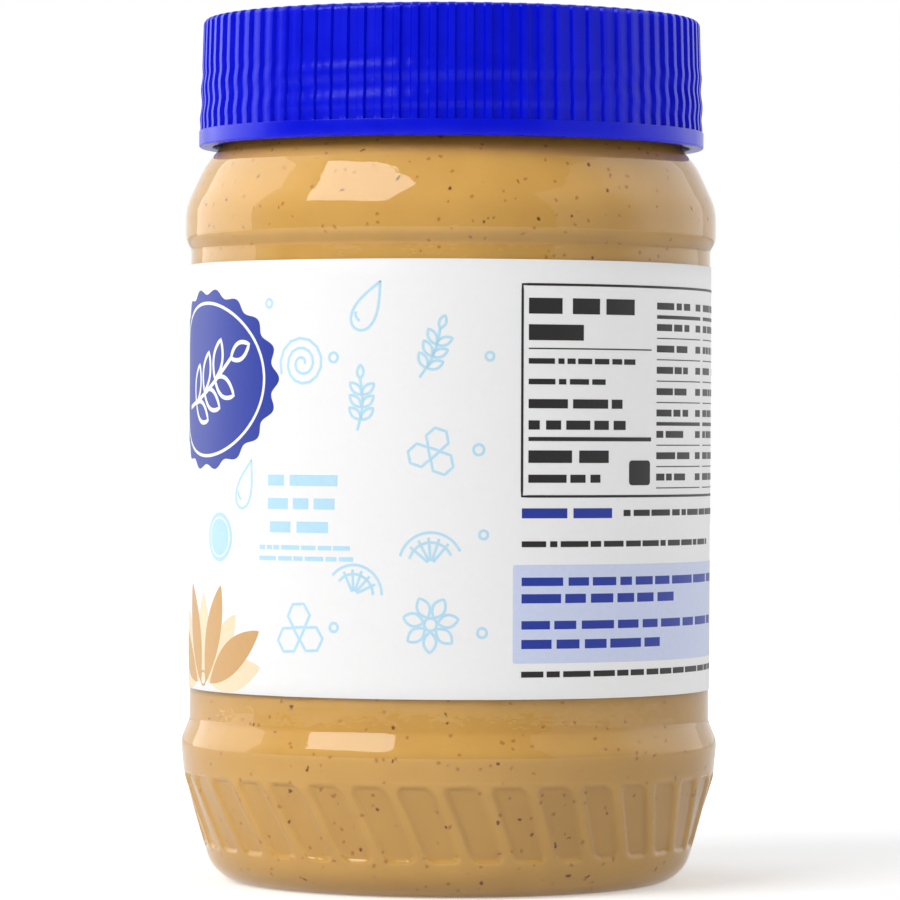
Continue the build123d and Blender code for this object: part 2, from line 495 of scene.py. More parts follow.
def label_stock(mottle: bpy.types.NodeTree) -> bpy.types.Material:
    """White coated label stock, nearly even, with a slight grain.

    Args:
        mottle: The shared mottle node group.

    Returns:
        The finished material.
    """
    material, tree, shader = Finish("label_stock", (0.87, 0.87, 0.87), 0.45, specular=0.35).start()
    grain = add_mottle(tree, mottle, 900.0, 0.10, 0.00003)
    colour = blend(tree, grain.outputs["Factor"], (0.855, 0.857, 0.862), (0.89, 0.888, 0.884))
    tree.links.new(colour, shader.inputs["Base Color"])
    tree.links.new(grain.outputs["Normal"], shader.inputs["Normal"])
    return material


def printed_ink(mottle: bpy.types.NodeTree, ink: Ink) -> bpy.types.Material:
    """An ink on the label, with the slight unevenness of print.

    Args:
        mottle: The shared mottle node group.
        ink: Which ink it is.

    Returns:
        The finished material.
    """
    colour = np.array(ink.value[0])
    material, tree, shader = Finish(f"ink_{ink.name.lower()}", tuple(colour), 0.42, specular=0.35).start()
    grain = add_mottle(tree, mottle, 1400.0, 0.08, 0.00002)
    weak, strong = tuple(np.minimum(colour * 1.06 + 0.004, 1)), tuple(colour * 0.95)
    tree.links.new(blend(tree, grain.outputs["Factor"], weak, strong), shader.inputs["Base Color"])
    tree.links.new(grain.outputs["Normal"], shader.inputs["Normal"])
    return material


# The jar and its filling


@dataclass
class JarOutline:
    """The jar's outer outline, from the heights of the CAD pieces and the sizes of its beads and heel."""

    radius: float
    rim: float
    lid_bottom: float
    label_bottom: float
    label_top: float
    panel_radius: float
    base_push_up: float = 4.0
    ring_inner: float = 24.5
    heel_radius: float = 33.2
    taper_top: float = 14.9
    taper_radius: float = 37.63
    bead_height: float = 20.0
    bead_corner: float = 0.08
    neck_radius: float = 32.6

    @staticmethod
    def from_frame() -> JarOutline:
        """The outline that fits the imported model.

        Returns:
            The outline.
        """
        (_, _, _), (right, _, rim) = (np.array(c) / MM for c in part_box("jar"))
        (_, _, lid_bottom), _ = (np.array(c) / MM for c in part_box("lid"))
        (label_left, _, label_bottom), (_, _, label_top) = (np.array(c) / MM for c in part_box("label"))
        panel = -label_left - 0.14
        return JarOutline(right, rim, lid_bottom, label_bottom, label_top, panel)

    def slope(self) -> float:
        """How fast the tapered foot widens with height."""
        return (self.taper_radius - self.heel_radius) / self.taper_top

    def side(self, inset: float, neck_inset: float) -> np.ndarray:
        """The outer side as a route in radius and height, its runs moved inwards and its corners rounded.

        Args:
            inset: How far the body's surface moves inwards.
            neck_inset: How far the neck's moves.

        Returns:
            Points from the standing ring's inner edge to the top of the neck.
        """
        shoulder = self.radius - 0.34
        corners = np.array(
            [
                (self.ring_inner, 0),
                (self.heel_radius, 0),
                (self.taper_radius, self.taper_top),
                (self.radius + self.bead_corner, self.bead_height),
                (self.panel_radius, self.label_bottom - 4.5),
                (self.panel_radius, self.label_top + 2.3),
                (shoulder, self.label_top + 3.7),
                (shoulder, self.lid_bottom - 8.5),
                (shoulder - 2.77, self.lid_bottom - 2.5),
                (self.neck_radius, self.lid_bottom + 0.2),
                (self.neck_radius, self.rim),
            ]
        )
        fillets = np.array([5.5, 3.0, 4.0, 2.0, 1.0, 2.5, 8.0, 10.0, 0.6])
        run = np.diff(corners, axis=0)
        run /= np.linalg.norm(run, axis=1)[:, None]
        inward = np.stack([-run[:, 1], run[:, 0]], axis=1)
        amounts = np.full(len(run), inset)
        amounts[-1] = neck_inset
        origin = corners[:-1] + inward * amounts[:, None]
        cross = run[:-1, 0] * run[1:, 1] - run[:-1, 1] * run[1:, 0]
        gap = origin[1:] - origin[:-1]
        along = (gap[:, 0] * run[1:, 1] - gap[:, 1] * run[1:, 0]) / cross
        moved = origin[:-1] + run[:-1] * along[:, None]
        ends = (np.array([[self.ring_inner, inset]]), np.array([[self.neck_radius - neck_inset, self.rim]]))
        radii = np.maximum(fillets - np.sign(cross) * inset, 0.15)
        return rounded(np.vstack([ends[0], moved, ends[1]]), radii)

    def base(self, inset: float, steps: int = 7) -> np.ndarray:
        """The pushed-up base from just off its middle to the standing ring: height = push-up (1 - (r /
        ring)^2)."""
        radius = np.linspace(0.08, 0.96, steps) * self.ring_inner
        return np.stack([radius, self.base_push_up * (1 - (radius / self.ring_inner) ** 2) + inset], axis=1)


@dataclass
class Flutes:
    """The slanted flutes round the foot: recesses with rounded corners, and narrow lands between them."""

    outline: JarOutline
    count: int = 36
    per_flute: int = 16
    top: float = 15.85
    bottom: float = 5.0
    land: float = 0.95
    corner: float = 1.5
    edge: float = 0.7
    depth: float = 0.34
    dish: float = 0.10
    twist: float = math.radians(7.0)
    first_land: float = FRONT + math.radians(7.4)
    crowding: float = 1.6
    seam_rise: float = 0.05
    seam_width: float = 0.16

    def angles(self, height: np.ndarray) -> np.ndarray:
        """The angle of every column on rings of these heights.

        The columns crowd towards each land, as 5 degrees times x^1.6 for x up to 1 either side of it, and
        the whole ring turns with the flutes: by the twist from their top to their bottom, in a smooth ramp.

        Args:
            height: The height of each ring.

        Returns:
            One row of angles for each ring.
        """
        half = self.per_flute // 2
        share = np.arange(-half + 1, half + 1) / half
        offset = np.sign(share) * np.abs(share) ** self.crowding * math.pi / self.count
        land = self.first_land + np.arange(self.count) * TURN / self.count
        column = (land[:, None] + offset).ravel()
        return column + self.turn(height)[:, None]

    def turn(self, height: np.ndarray) -> np.ndarray:
        """How far the flutes have turned at a height, from none at their top."""
        return self.twist * np.clip((self.top - height) / (self.top - self.bottom), 0, 1)

    def recess(self, radius: np.ndarray, height: np.ndarray, angle: np.ndarray) -> np.ndarray:
        """How deep the wall is pressed in at each vertex.

        The distance to a rounded rectangle's edge, in the wall's own plane, ramps the depth up smoothly,
        and a shallow dish, 1 - (across / half width)^2, deepens the middle. A fine raised seam runs round
        the lands' tops.

        Args:
            radius: Each ring's plain radius.
            height: Each ring's height.
            angle: The angle of each vertex.

        Returns:
            Depth inwards for each vertex.
        """
        outline = self.outline
        lean = math.hypot(1, outline.slope())
        level = height[:, None]
        pitch = TURN / self.count
        from_land = (angle - self.first_land - self.turn(height)[:, None]) / pitch
        across = (from_land - np.floor(from_land) - 0.5) * pitch * radius[:, None]
        half_width = math.pi * radius[:, None] / self.count - self.land / 2
        along = (level - (self.top + self.bottom) / 2) * lean
        half_height = (self.top - self.bottom) / 2 * lean
        beside = np.abs(across) - half_width + self.corner
        beyond = np.abs(along) - half_height + self.corner
        outside = np.hypot(np.maximum(beside, 0), np.maximum(beyond, 0))
        distance = outside + np.minimum(np.maximum(beside, beyond), 0) - self.corner
        pressed = smooth_step(-distance / self.edge)
        dish = self.dish * np.clip(1 - (across / half_width) ** 2, 0, 1) * pressed
        seam = self.seam_rise * np.exp(-(((level - self.top - 0.15) / self.seam_width) ** 2))
        return self.depth * pressed + dish - seam


@dataclass
class Jar:
    """The clear jar: the fluted outer skin, the rim and a plain inner skin behind the filling's surface."""

    outline: JarOutline
    flutes: Flutes
    wall: float = 0.55
    neck_wall: float = 1.2
    flute_row: float = 0.26
    long_row: float = 6.0
    thread_start: float = 107.85
    thread_turns: float = 1.25

    def fine_rows(self, route: np.ndarray) -> np.ndarray:
        """The route cut finely where the flutes are and coarsely elsewhere.

        Args:
            route: Points in radius and height.

        Returns:
            The finer route.
        """
        middle = (route[1:, 1] + route[:-1, 1]) / 2
        in_flutes = (route[1:, 1] > self.flutes.bottom - 0.5) & (route[:-1, 1] < self.flutes.top + 0.6)
        fluted = in_flutes & (middle > self.flutes.bottom - 2)
        return split(route, np.where(fluted, self.flute_row, self.long_row))

    def skin(self) -> Patch:
        """The jar's closed skin: base, outer side with its flutes, rounded rim, and the inner side back
        down.

        Returns:
            The closed skin.
        """
        outer = self.fine_rows(np.vstack([self.outline.base(0), self.outline.side(0, 0)[:-1]]))
        rim_middle = self.outline.neck_radius - self.neck_wall / 2
        sweep = np.linspace(0, math.pi, 7)[:, None]
        rim_height = self.outline.rim - 0.6 + 0.6 * np.sin(sweep)
        rim = np.hstack([rim_middle + self.neck_wall / 2 * np.cos(sweep), rim_height])
        inner_side = self.outline.side(self.wall, self.neck_wall)[:-1]
        behind = smooth_step((inner_side[:, 1] - 2.5) / 2) * smooth_step((18.5 - inner_side[:, 1]) / 2)
        inner = np.vstack([self.outline.base(self.wall), inner_side])
        inner[-len(inner_side) :, 0] -= 0.4 * behind
        inner = split(inner, 9.0)[::-1]
        angle = self.flutes.angles(outer[:, 1])
        radius = outer[:, :1] - self.flutes.recess(outer[:, 0], outer[:, 1], angle)
        still = np.vstack([rim, inner])
        still_angle = np.repeat(self.flutes.angles(np.array([self.outline.rim])), len(still), axis=0)
        back = self.flutes.angles(still[:, 1])
        still_angle[len(rim) :] = back[len(rim) :]
        height = np.concatenate([outer[:, 1], still[:, 1]])
        columns = angle.shape[1]
        return turned(
            np.vstack([radius, np.repeat(still[:, :1], columns, axis=1)]),
            np.repeat(height[:, None], columns, axis=1),
            np.vstack([angle, still_angle]),
        )

    def build(self, finish: bpy.types.Material) -> bpy.types.Object:
        """The jar, which stands for the CAD jar.

        Args:
            finish: The clear plastic.

        Returns:
            The new object.
        """
        thread = screw_thread(self.outline.neck_radius, 0.95, self.thread_start, self.thread_turns)
        jar = Patch.joined([self.skin(), thread]).to_object("jar_shell", finish, "clear_plastic", 40.0)
        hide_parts("jar")
        return jar


def screw_thread(radius: float, rise: float, start: float, turns: float, pitch: float = 4.2) -> Patch:
    """A closed helical ridge: a trapezium whose size swells from nothing at both ends, carried up a helix.

    Args:
        radius: The wall's radius.
        rise: How far the crest stands from the wall, negative for an inner thread.
        start: The height at which the helix begins, at angle 0.
        turns: How many turns it makes.
        pitch: The rise in one turn.

    Returns:
        The ridge, whose vertices are r cos a, r sin a and start + pitch a / one turn, plus the section.
    """
    angle = np.linspace(0, turns * TURN, int(turns * 120))[:, None]
    swell = 0.15 + 0.85 * smooth_step(np.minimum(angle, angle[-1] - angle) / 0.35)
    out = np.array([[-0.25 * np.sign(rise), rise, rise, -0.25 * np.sign(rise)]]) * swell
    up = np.array([[-0.85, -0.4, 0.4, 0.85]]) * swell
    if rise < 0:
        out, up = out[:, ::-1], up[:, ::-1]
    reach = radius + out
    level = start + pitch * angle / TURN + up
    points = np.stack([reach * np.cos(angle), reach * np.sin(angle), level], axis=-1).reshape(-1, 3)
    last = len(points) - 4
    caps = np.array([[0, 1, 2, 3], [last + 3, last + 2, last + 1, last]])
    return Patch(points, np.vstack([lattice(len(angle), 4)[:, ::-1], caps[:, ::-1]]))


@dataclass
class Filling:
    """The peanut butter: one solid that reaches just into the jar's wall, up to its level in the neck."""

    outline: JarOutline
    flutes: Flutes
    level: float
    inset: float = 0.48
    neck_inset: float = 1.15
    flute_share: float = 0.85

    def build(self, jar: Jar, finish: bpy.types.Material) -> bpy.types.Object:
        """The filling, whose side follows the jar's flutes at a share of their depth.

        Args:
            jar: The jar, for the spacing of its rows.
            finish: The peanut butter.

        Returns:
            The new object.
        """
        side = self.outline.side(self.inset, self.neck_inset)
        side[-1, 1] = self.level
        top = np.stack([np.linspace(0.97, 0.05, 6) * side[-1, 0], np.full(6, self.level)], axis=1)
        route = jar.fine_rows(np.vstack([self.outline.base(self.inset), side, top]))
        angle = self.flutes.angles(route[:, 1])
        pressed = self.flutes.recess(route[:, 0] + self.inset, route[:, 1], angle) * self.flute_share
        outer = (np.arange(len(route)) > 7)[:, None] & (route[:, 1] < self.level - 1)[:, None]
        radius = route[:, :1] - np.where(outer, pressed, 0)
        height = np.repeat(route[:, 1:], angle.shape[1], axis=1)
        filling = turned(radius, height, angle).to_object("peanut_butter_fill", finish, "nut_spread", 50.0)
        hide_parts("peanut_butter")
        return filling


# The lid


@dataclass
class Lid:
    """The screw lid: a plain band, a skirt of grip ribs, a flat top and a threaded bore."""

    bottom: float
    top: float
    band_radius: float
    band_height: float = 2.3
    skirt_bottom: float = 35.75
    skirt_top: float = 35.3
    corner: float = 0.9
    bore: float = 33.95
    roof: float = 1.3
    ribs: int = 88
    rib_depth: float = 0.5
    ripple: float = 0.10
    pitch: float = 4.2
    ripple_height: float = 113.3
    first_rib: float = FRONT

    @staticmethod
    def from_frame() -> Lid:
        """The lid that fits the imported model."""
        low, high = (np.array(c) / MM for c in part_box("lid"))
        return Lid(low[2], high[2], high[0])

    def columns(self) -> np.ndarray:
        """The angles of the columns, crowded on each rib's flanks."""
        place = np.array([-0.32, -0.27, -0.22, -0.17, -0.10, 0.0, 0.10, 0.17, 0.22, 0.27, 0.32, 0.5])
        return (self.first_rib + (np.arange(self.ribs)[:, None] + place) * TURN / self.ribs).ravel()

    def groove(self, angle: np.ndarray) -> np.ndarray:
        """How much of the full groove there is at an angle: none over a rib, all past its rounded flank.

        Args:
            angle: The angle of each vertex.

        Returns:
            A share from 0 to about 1.
        """
        share = (angle - self.first_rib) / (TURN / self.ribs)
        from_crest = np.abs(share - np.round(share))
        crown = 0.05 * (from_crest / 0.155) ** 2 * (from_crest < 0.155)
        return smooth_step((from_crest - 0.155) / 0.13) + crown

    def outer(self) -> tuple[np.ndarray, np.ndarray]:
        """The outer side's route, from the lip to near the top's middle, and where along it the ribs show.

        Returns:
            The route, and 1 where ribs show.
        """
        ledge = self.bottom + self.band_height
        lip = rounded(
            np.array(
                [
                    (self.bore + 0.2, self.bottom),
                    (self.band_radius, self.bottom),
                    (self.band_radius, ledge),
                    (self.skirt_bottom, ledge),
                ]
            ),
            np.array([0.3, 0.09]),
            18.0,
        )
        skirt = rounded(
            np.array([(self.skirt_bottom, ledge + 0.04), (self.skirt_top, self.top), (2.0, self.top)]),
            np.array([self.corner]),
            11.0,
        )
        skirt = split(skirt, np.where(skirt[:-1, 1] < ledge + 1, 0.55, 8.0))
        route = np.vstack([lip, skirt])
        ribbed = np.zeros(len(route))
        ribbed[len(lip) :] = skirt[:, 0] > self.skirt_top - self.corner - 0.1
        return route, ribbed

    def build(self, finish: bpy.types.Material) -> bpy.types.Object:
        """The lid, which stands for the CAD lid.

        The ribs are grooves pressed into the outer side by the groove share times their depth. The thread
        inside shows as a ripple of the skirt, cos(turns of the helix at that height and angle), faded at
        both ends.

        Args:
            finish: The blue plastic.

        Returns:
            The new object.
        """
        outer, ribbed = self.outer()
        ceiling = self.top - self.roof
        inner = np.array(
            [
                (1.0, ceiling),
                (self.bore - 0.5, ceiling),
                (self.bore - 0.12, ceiling - 0.12),
                (self.bore, ceiling - 0.5),
                (self.bore, self.bottom + 0.25),
                (self.bore + 0.06, self.bottom + 0.06),
            ]
        )
        route = np.vstack([split(inner, 6.0), outer])
        ribbed = np.concatenate([np.zeros(len(route) - len(outer)), ribbed])[:, None]
        angle = np.repeat(self.columns()[None, :], len(route), axis=0)
        height = np.repeat(route[:, 1:], angle.shape[1], axis=1)
        turn = (height - self.ripple_height) / self.pitch - (angle - FRONT) / TURN
        fade_in = smooth_step((height - self.bottom - 2.5) / 1.5)
        fade = fade_in * smooth_step((self.bottom + 12.0 - height) / 2.0)
        ripple = self.ripple * np.cos(TURN * turn) * fade
        radius = route[:, :1] + ribbed * (ripple - self.rib_depth * self.groove(angle))
        thread = screw_thread(self.bore, -0.95, 105.75, 2.0)
        cap = Patch.joined([turned(radius, height, angle), thread])
        lid = cap.to_object("lid_cap", finish, "blue_lid", 48.0)
        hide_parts("lid")
        return lid


# The label and its print


@dataclass
class Label:
    """The wrap-round label, a thin sheet whose end laps over its start, and the surface that inks lie
    on."""

    radius: float
    bottom: float
    top: float
    thickness: float = 0.12
    seam: float = math.radians(60.0)
    lap: float = math.radians(9.0)

    @staticmethod
    def from_frame() -> Label:
        """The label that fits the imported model."""
        low, high = (np.array(c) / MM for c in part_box("label"))
        return Label(-low[0], low[2], high[2])

    def surface(self, angle: np.ndarray, height: np.ndarray) -> np.ndarray:
        """The outer radius: a cylinder, less slow waves of a few hundredths, and raised where the end
        laps over.

        Args:
            angle: Angle of each place.
            height: Height of each place.

        Returns:
            The radius there.
        """
        from_seam = np.mod(angle - self.seam, TURN)
        lap = self.thickness * smooth_step(from_seam / 0.004)
        lap = lap * smooth_step((self.lap - from_seam) / 0.08 + 0.5)
        waves = 0.016 * np.sin(3 * angle + height / 9) + 0.012 * np.sin(7 * angle - height / 14 + 1)
        return self.radius + lap + waves - 0.02

    def wrap(self, across: np.ndarray, up: np.ndarray, rise: np.ndarray | float) -> np.ndarray:
        """Places on the label: across goes round it from the front, up from its foot and rise out of its
        surface.

        Args:
            across: Distance round from the front.
            up: Distance above the label's foot.
            rise: Distance out of the surface.

        Returns:
            Points in space.
        """
        angle, height = FRONT + across / self.radius, self.bottom + up
        radius = self.surface(angle, height) + rise
        return np.stack([radius * np.cos(angle), radius * np.sin(angle), height], axis=-1)

    def build(self, finish: bpy.types.Material) -> bpy.types.Object:
        """The label sheet, a closed ring of outer face, rounded edges and inner face, in place of the
        CAD label.

        Args:
            finish: The label stock.

        Returns:
            The new object.
        """
        height = np.linspace(self.bottom + 0.03, self.top - 0.03, 26)
        even = np.linspace(0, TURN, 420, endpoint=False)[1:]
        column = self.seam + np.sort(np.concatenate([even, [0.001, 0.004]]))
        level = np.concatenate([height, [self.top, self.top], height[::-1], [self.bottom, self.bottom]])
        skin = np.concatenate([np.zeros(26), [0.03, 0.09], np.full(26, 0.12), [0.09, 0.03]])
        angle = np.repeat(column[None, :], len(level), axis=0)
        up = np.repeat(level[:, None], len(column), axis=1)
        radius = self.surface(angle, up) - skin[:, None]
        points = np.stack([radius * np.cos(angle), radius * np.sin(angle), up], axis=-1).reshape(-1, 3)
        sheet = Patch(points, lattice(len(level), len(column), wrap_rows=True))
        label = sheet.to_object("label_wrap", finish, "white_label", 50.0)
        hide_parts("label")
        return label


@dataclass
class Press:
    """Prints shapes on the label: each is a thin closed piece that follows the label's surface."""

    label: Label
    sunk: float = 0.02
    step: float = 0.9
    printed: dict[Ink, list[Patch]] = field(default_factory=dict)

    def line(self, ink: Ink, points: np.ndarray, width: float, closed: bool = False) -> None:
        """A stroke: a flat ribbon of even width along a path, its sides found from the path's own
        direction.

        Args:
            ink: The ink.
            points: The stroke's middle line.
            width: Its width.
            closed: Whether it joins its own start.
        """
        if closed:
            ahead, behind = np.roll(points, -1, axis=0), np.roll(points, 1, axis=0)
            direction = ahead - behind
        else:
            direction = np.gradient(points, axis=0)
        direction = direction / np.maximum(np.linalg.norm(direction, axis=1), 1e-9)[:, None]
        normal = np.stack([-direction[:, 1], direction[:, 0]], axis=1) * width / 2
        left, right = points + normal, points - normal
        rise = ink.value[1]
        corners = [
            self.label.wrap(side[:, 0], side[:, 1], level)
            for side, level in ((right, -self.sunk), (right, rise), (left, rise), (left, -self.sunk))
        ]
        ribbon = np.stack(corners, axis=1).reshape(-1, 3)
        quads = lattice(len(points), 4, wrap_rows=closed)
        if not closed:
            last = len(ribbon) - 4
            quads = np.vstack([quads, [[3, 2, 1, 0], [last, last + 1, last + 2, last + 3]]])
        self.printed.setdefault(ink, []).append(Patch(ribbon, quads))

    def area(self, ink: Ink, edge: np.ndarray) -> None:
        """A filled shape: rings shrink from its edge to its middle, close enough together to follow the
        curve.

        Args:
            ink: The ink.
            edge: The shape's outline, anticlockwise.
        """
        middle = (edge.max(axis=0) + edge.min(axis=0)) / 2
        rings = max(2, math.ceil(np.linalg.norm(edge - middle, axis=1).max() / self.step))
        share = np.linspace(1, 1 / rings, rings)[:, None, None]
        grid = middle + (edge - middle)[None] * share
        rise = ink.value[1]
        face = self.label.wrap(grid[..., 0], grid[..., 1], rise)
        back = self.label.wrap(grid[0, :, 0], grid[0, :, 1], -self.sunk)
        centre = self.label.wrap(middle[:1], middle[1:], rise)
        under = self.label.wrap(middle[:1], middle[1:], -self.sunk)
        count = len(edge)
        ring = np.vstack([back[None], face]).reshape(-1, 3)
        here, after = np.arange(count), (np.arange(count) + 1) % count
        last, top, foot = rings * count, len(ring), len(ring) + 1
        caps = [
            np.stack([np.full(count, top), last + here, last + after], axis=-1),
            np.stack([np.full(count, foot), after, here], axis=-1),
        ]
        shape = Patch(np.vstack([ring, centre, under]), lattice(rings + 1, count), np.vstack(caps))
        self.printed.setdefault(ink, []).append(shape)

    def box(
        self, ink: Ink, left: float, foot: float, width: float, height: float, corner: float = 0.2
    ) -> None:
        """A filled rectangle with rounded corners."""
        self.area(ink, box_edge(left, foot, width, height, corner, self.step))

    def rule(self, ink: Ink, left: float, right: float, up: float, width: float) -> None:
        """A straight level rule.

        Args:
            ink: The ink.
            left: Its start.
            right: Its end.
            up: Its height on the label.
            width: Its width.
        """
        across = np.linspace(left, right, max(2, math.ceil((right - left) / self.step) + 1))
        self.line(ink, np.stack([across, np.full_like(across, up)], axis=1), width)

    def words(
        self, ink: Ink, left: float, right: float, up: float, height: float, random: np.random.Generator
    ) -> None:
        """A line of plain bars of uneven length that stand for words.

        Args:
            ink: The ink.
            left: Where the line starts.
            right: Where it ends at the latest.
            up: Its height on the label.
            height: How tall the bars are.
            random: The source of their lengths.
        """
        place = left
        while place < right - height:
            length = min(height * random.uniform(1.2, 5.5), right - place)
            self.rule(ink, place, place + length, up, height)
            place += length + height * random.uniform(0.45, 0.75)

    def build(self, mottle: bpy.types.NodeTree) -> list[bpy.types.Object]:
        """One piece for each ink.

        Args:
            mottle: The shared mottle node group.

        Returns:
            The ink pieces.
        """
        return [
            Patch.joined(shapes).to_object(
                f"print_{ink.name.lower()}", printed_ink(mottle, ink), "white_label", 30.0
            )
            for ink, shapes in self.printed.items()
        ]


def box_edge(left: float, foot: float, width: float, height: float, corner: float, step: float) -> np.ndarray:
    """The outline of a rectangle with rounded corners, anticlockwise, as points no further apart than a
    step.

    Args:
        left: Left side.
        foot: Lower side.
        width: Width.
        height: Height.
        corner: Corner radius.
        step: Longest gap between points.

    Returns:
        The outline.
    """
    low, high = np.array([left, foot]), np.array([left + width, foot + height])
    square = np.array([(low[0] + width / 2, low[1]), (high[0], low[1]), high, (low[0], high[1]), low])
    route = rounded(np.vstack([square, square[:1]]), np.full(4, corner), 30.0)
    return split(route, step)[:-1]


def circle(centre: tuple[float, float], radius: float, count: int = 40, squash: float = 1.0) -> np.ndarray:
    """A circle, or an ellipse if squashed: centre + radius (cos a, squash sin a)."""
    angle = np.linspace(0, TURN, count, endpoint=False)
    return np.stack([centre[0] + radius * np.cos(angle), centre[1] + radius * squash * np.sin(angle)], axis=1)


def leaf(start: tuple[float, float], turn: float, length: float, width: float, count: int = 26) -> np.ndarray:
    """A leaf's outline from its stalk end: along t and across width sin(pi t)^0.8, there and back.

    Args:
        start: Its stalk end.
        turn: The way it points, in radians.
        length: Its length.
        width: Its width.
        count: About how many points it has.

    Returns:
        The outline.
    """
    t = np.linspace(0, 1, count // 2, endpoint=False)
    side = width / 2 * np.sin(math.pi * t) ** 0.8
    along = np.concatenate([t, 1 - t]) * length
    across = np.concatenate([-side, width / 2 * np.sin(math.pi * (1 - t)) ** 0.8])
    return spun(np.stack([along, across], axis=1), turn) + np.array(start)


def spun(points: np.ndarray, turn: float) -> np.ndarray:
    """The points turned anticlockwise about (0, 0) by an angle in radians."""
    c, s = math.cos(turn), math.sin(turn)
    return points @ np.array([[c, s], [-s, c]])


def motif_strokes(motif: Motif) -> list[tuple[np.ndarray, bool]]:
    """A line drawing about one unit across its middle, as strokes that are open or closed.

    Args:
        motif: Which drawing it is.

    Returns:
        Each stroke's points, and whether it joins its own start.
    """
    t = np.linspace(0, 1, 36)
    if motif is Motif.SPRIG:
        stem = np.stack([0.08 * np.sin(math.pi * t), t - 0.5], axis=1)
        leaves = [
            (leaf((0.06, place - 0.42), math.radians(90 - side * 48), 0.30, 0.14), True)
            for place in (0.12, 0.34, 0.56)
            for side in (-1, 1)
        ]
        return [(stem[::3], False), *leaves, (leaf((0.02, 0.42), math.radians(90), 0.24, 0.12), True)]
    if motif is Motif.DAISY:
        turns = np.arange(7) * TURN / 7
        petals = [(leaf((0.13 * math.cos(a), 0.13 * math.sin(a)), a, 0.36, 0.22), True) for a in turns]
        return [(circle((0, 0), 0.11, 20), True), *petals]
    if motif is Motif.SPIRAL:
        angle = t * TURN * 2.6
        reach = 0.05 + 0.44 * t
        return [(np.stack([reach * np.cos(angle), reach * np.sin(angle)], axis=1), False)]
    if motif is Motif.HONEYCOMB:
        places = ((0, 0.25), (-0.225, -0.14), (0.225, -0.14))
        hexagons = [circle(place, 0.22, 6) for place in places]
        return [(split(np.vstack([six, six[:1]]), 0.1)[:-1], True) for six in hexagons]
    if motif is Motif.WAVES:
        return [
            (np.stack([t - 0.5, level + 0.07 * np.sin(TURN * 2 * t)], axis=1), False)
            for level in (-0.22, 0.0, 0.22)
        ]
    if motif is Motif.DROP:
        angle = np.linspace(0, TURN, 40, endpoint=False)
        body = np.stack([0.30 * np.sin(angle) * np.sin(angle / 2) ** 1.3, 0.48 * np.cos(angle)], axis=1)
        shine = np.linspace(math.radians(200), math.radians(265), 10)
        return [(body[::-1], True), (0.17 * np.stack([np.cos(shine), np.sin(shine) - 0.9], axis=1), False)]
    if motif is Motif.SHELL:
        arc = np.linspace(math.radians(20), math.radians(160), 22)
        out = np.linspace(0.06, 0.44, 5)
        rays = [
            (np.stack([out * math.cos(a), out * math.sin(a) - 0.25], axis=1), False)
            for a in np.radians([45, 67.5, 90, 112.5, 135])
        ]
        arcs = [(np.stack([r * np.cos(arc), r * np.sin(arc) - 0.25], axis=1), False) for r in (0.52, 0.36)]
        return [*arcs, *rays]
    outer, inner = (
        split(np.array([(0, -h), (w, 0), (0, h), (-w, 0), (0, -h)]), 0.1)[:-1]
        for w, h in ((0.3, 0.45), (0.14, 0.21))
    )
    return [(outer, True), (inner, True)]


